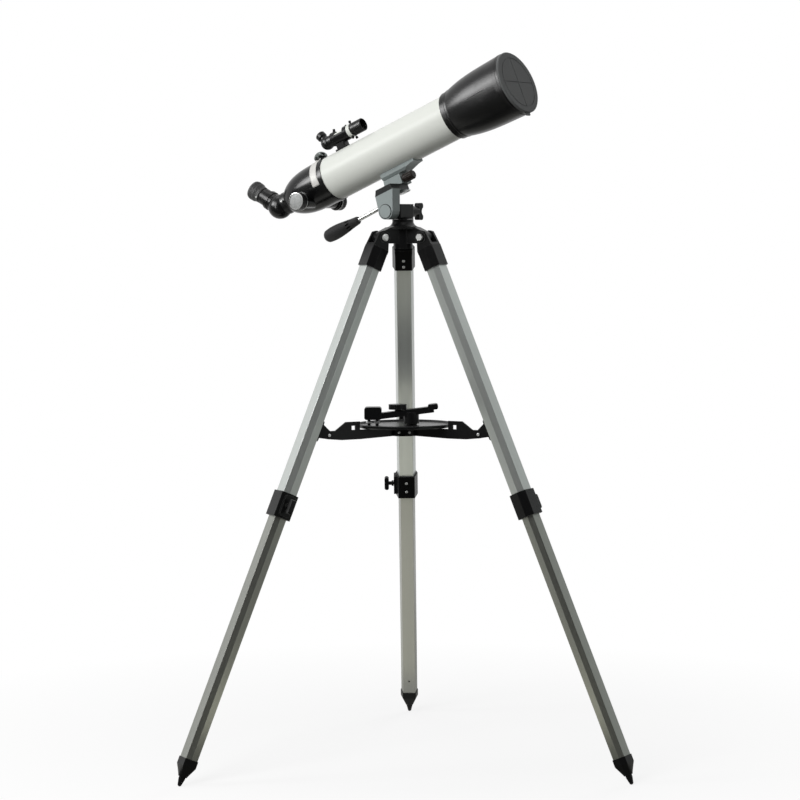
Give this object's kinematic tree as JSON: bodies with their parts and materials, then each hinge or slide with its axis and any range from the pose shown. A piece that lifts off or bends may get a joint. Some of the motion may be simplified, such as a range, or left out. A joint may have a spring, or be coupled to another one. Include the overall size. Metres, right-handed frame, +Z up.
{
  "type": "telescope on tripod",
  "caption": "Small refracting telescope with a finder and an angled eyepiece, on a pan and tilt head and a folding tripod with extending legs and an accessory tray.",
  "frame": {"origin": "middle of the bounding box on the floor the feet stand on", "axes": "+Z up; +Y towards the back leg; the telescope points to +X, turned towards -Y and raised"},
  "size_m": [0.8708, 0.7598, 1.3909],
  "materials": {
    "black_plastic": "satin",
    "steel": "zinc plated",
    "chrome": "polished",
    "black_sheet": "semi-gloss paint",
    "grey_cast": "grey paint on a casting",
    "grip_rubber": "matt",
    "white_enamel": "gloss pearl white",
    "black_alloy": "anodised black",
    "knob_black": "ribbed, with a bright face disc",
    "aluminium": "satin anodised",
    "glass": "coated"
  },
  "bodies": {
    "hub": {"tripod_hub": "black_plastic", "hinge_bolts": "steel"},
    "leg_1": {"leg_bracket_1": "black_plastic", "upper_leg_1": "aluminium", "leg_collar_1": "black_plastic", "spreader_lug_1": "black_plastic"},
    "lower_leg_1": {"lower_leg_1": "aluminium", "foot_1": "black_plastic"},
    "thumbscrew_1": {"collar_thumbscrew_1": "black_plastic"},
    "leg_2": {"leg_bracket_2": "black_plastic", "upper_leg_2": "aluminium", "leg_collar_2": "black_plastic", "spreader_lug_2": "black_plastic"},
    "lower_leg_2": {"lower_leg_2": "aluminium", "foot_2": "black_plastic"},
    "thumbscrew_2": {"collar_thumbscrew_2": "black_plastic"},
    "leg_3": {"leg_bracket_3": "black_plastic", "upper_leg_3": "aluminium", "leg_collar_3": "black_plastic", "spreader_lug_3": "black_plastic"},
    "lower_leg_3": {"lower_leg_3": "aluminium", "foot_3": "black_plastic"},
    "thumbscrew_3": {"collar_thumbscrew_3": "black_plastic"},
    "tray": {"spreader_hub": "black_plastic", "spreader_pins": "steel", "tray_plate": "black_plastic"},
    "arm_1": {"spreader_arm_1": "black_sheet"},
    "arm_2": {"spreader_arm_2": "black_sheet"},
    "arm_3": {"spreader_arm_3": "black_sheet"},
    "phone_adapter": {"phone_adapter": "black_plastic"},
    "pan_head": {"pan_base": "black_plastic"},
    "telescope": {"tilt_arm": "grey_cast", "clamp_base": "grey_cast", "tube_saddle": "grey_cast", "main_tube": "white_enamel", "dew_shield": "black_plastic", "lens_cell": "black_plastic", "objective_lens": "glass", "rear_cell": "black_plastic", "finder_bracket": "black_plastic", "finder_tube": "white_enamel", "finder_hood": "black_plastic", "finder_lens": "glass", "finder_elbow": "black_plastic"},
    "tilt_lock": {"tilt_lock_knob": "black_plastic"},
    "handle": {"handle_rod": "chrome", "handle_grip": "grip_rubber"},
    "platform_screw": {"platform_screw": "steel"},
    "clamp_knob": {"clamp_knob": "black_plastic"},
    "dust_cap": {"dust_cap": "black_plastic"},
    "focus_drive": {"focus_shaft": "steel", "focus_knobs": "knob_black"},
    "drawtube": {"drawtube": "black_alloy"},
    "focus_lock": {"focus_lock_knob": "chrome"},
    "diagonal": {"diagonal_housing": "black_plastic", "diagonal_prism": "glass"},
    "eyepiece": {"eyepiece_barrel": "black_plastic", "eyecup": "grip_rubber", "eyepiece_lenses": "glass"},
    "finder_eyepiece": {"finder_eyepiece": "black_plastic"}
  },
  "joints": [
    {"name": "leg_1_fold", "type": "hinge", "parent": "hub", "child": "leg_1", "pos_m": [0, -0.074, 1.0396], "axis": [-1, 0, 0], "range_deg": [0, 9.4]},
    {"name": "leg_2_fold", "type": "hinge", "parent": "hub", "child": "leg_2", "pos_m": [-0.0433, -0.149, 1.0396], "axis": [0.5, -0.866, 0], "range_deg": [0, 9.4]},
    {"name": "leg_3_fold", "type": "hinge", "parent": "hub", "child": "leg_3", "pos_m": [0.0433, -0.149, 1.0396], "axis": [0.5, 0.866, 0], "range_deg": [0, 9.4]},
    {"name": "leg_1_extend", "type": "slide", "parent": "leg_1", "child": "lower_leg_1", "axis": [0, -0.3955, 0.9184], "range_m": [0, 0.4]},
    {"name": "leg_1_clamp", "type": "hinge", "parent": "leg_1", "child": "thumbscrew_1", "pos_m": [-0.035, 0.1502, 0.52534], "axis": [-1, 0, 0], "range_deg": [0, 360]},
    {"name": "leg_2_extend", "type": "slide", "parent": "leg_2", "child": "lower_leg_2", "axis": [0.3426, 0.1978, 0.9184], "range_m": [0, 0.4]},
    {"name": "leg_2_clamp", "type": "hinge", "parent": "leg_2", "child": "thumbscrew_2", "pos_m": [-0.21996, -0.29141, 0.52534], "axis": [0.5, -0.866, 0], "range_deg": [0, 360]},
    {"name": "leg_3_extend", "type": "slide", "parent": "leg_3", "child": "lower_leg_3", "axis": [-0.3426, 0.1978, 0.9184], "range_m": [0, 0.4]},
    {"name": "leg_3_clamp", "type": "hinge", "parent": "leg_3", "child": "thumbscrew_3", "pos_m": [0.25496, -0.23079, 0.52534], "axis": [0.5, 0.866, 0], "range_deg": [0, 360]},
    {"name": "tray_lift", "type": "slide", "parent": "hub", "child": "tray", "axis": [0, 0, 1], "range_m": [0, 0.1095]},
    {"name": "arm_1_swing", "type": "hinge", "parent": "tray", "child": "arm_1", "pos_m": [0, -0.104, 0.656], "axis": [-1, 0, 0], "range_deg": [0, 55.45]},
    {"name": "arm_2_swing", "type": "hinge", "parent": "tray", "child": "arm_2", "pos_m": [-0.01732, -0.134, 0.656], "axis": [0.5, -0.866, 0], "range_deg": [0, 55.45]},
    {"name": "arm_3_swing", "type": "hinge", "parent": "tray", "child": "arm_3", "pos_m": [0.01732, -0.134, 0.656], "axis": [0.5, 0.866, 0], "range_deg": [0, 55.45]},
    {"name": "adapter_lift", "type": "slide", "parent": "tray", "child": "phone_adapter", "axis": [0, 0, 1], "range_m": [0, 0.04]},
    {"name": "pan", "type": "hinge", "parent": "hub", "child": "pan_head", "pos_m": [0, -0.124, 1.0756], "axis": [0, 0, 1], "continuous": true},
    {"name": "tilt", "type": "hinge", "parent": "pan_head", "child": "telescope", "pos_m": [-0.02652, -0.15566, 1.0906], "axis": [0.5446, 0.8387, 0], "range_deg": [-27, 35]},
    {"name": "tilt_lock_turn", "type": "hinge", "parent": "pan_head", "child": "tilt_lock", "pos_m": [0.02848, -0.07096, 1.0906], "axis": [0.5446, 0.8387, 0], "range_deg": [0, 180]},
    {"name": "handle_twist", "type": "hinge", "parent": "telescope", "child": "handle", "pos_m": [-0.0391, -0.14749, 1.0996], "axis": [0.7685, -0.4991, 0.4003], "range_deg": [0, 180]},
    {"name": "platform_screw_turn", "type": "hinge", "parent": "telescope", "child": "platform_screw", "pos_m": [0.00042, -0.12427, 1.12817], "axis": [-0.3155, 0.2049, 0.9265], "range_deg": [0, 360]},
    {"name": "clamp_knob_turn", "type": "hinge", "parent": "telescope", "child": "clamp_knob", "pos_m": [0.00937, -0.14022, 1.15741], "axis": [0.7771, -0.5046, 0.3762], "range_deg": [0, 360]},
    {"name": "dust_cap_pull", "type": "slide", "parent": "telescope", "child": "dust_cap", "axis": [0.7771, -0.5046, 0.3762], "range_m": [0, 0.05]},
    {"name": "focus_turn", "type": "hinge", "parent": "telescope", "child": "focus_drive", "pos_m": [-0.17176, -0.01246, 1.1128], "axis": [-0.5446, -0.8387, 0], "range_deg": [0, 322.5]},
    {"name": "drawtube_slide", "type": "slide", "parent": "telescope", "child": "drawtube", "axis": [-0.7771, 0.5046, -0.3762], "range_m": [0, 0.036]},
    {"name": "focus_lock_turn", "type": "hinge", "parent": "telescope", "child": "focus_lock", "pos_m": [-0.1656, -0.01646, 1.20104], "axis": [-0.3155, 0.2049, 0.9265], "range_deg": [0, 180]},
    {"name": "diagonal_turn", "type": "hinge", "parent": "drawtube", "child": "diagonal", "pos_m": [-0.25177, 0.0395, 1.1032], "axis": [0.7771, -0.5046, 0.3762], "range_deg": [-90, 90]},
    {"name": "eyepiece_pull", "type": "slide", "parent": "diagonal", "child": "eyepiece", "axis": [-0.7412, 0.4813, 0.4679], "range_m": [0, 0.04]},
    {"name": "finder_focus", "type": "slide", "parent": "telescope", "child": "finder_eyepiece", "axis": [-0.6434, 0.4178, 0.6414], "range_m": [0, 0.004]}
  ],
  "couplings": [
    {"joint": "leg_2_fold", "follows": "leg_1_fold", "ratio": 1},
    {"joint": "leg_3_fold", "follows": "leg_1_fold", "ratio": 1},
    {"joint": "tray_lift", "follows": "leg_1_fold", "m_per_rad": 0.66439},
    {"joint": "arm_1_swing", "follows": "leg_1_fold", "ratio": 5.8455},
    {"joint": "arm_2_swing", "follows": "leg_1_fold", "ratio": 5.8455},
    {"joint": "arm_3_swing", "follows": "leg_1_fold", "ratio": 5.8455},
    {"joint": "focus_turn", "follows": "drawtube_slide", "rad_per_m": 156.25}
  ]
}
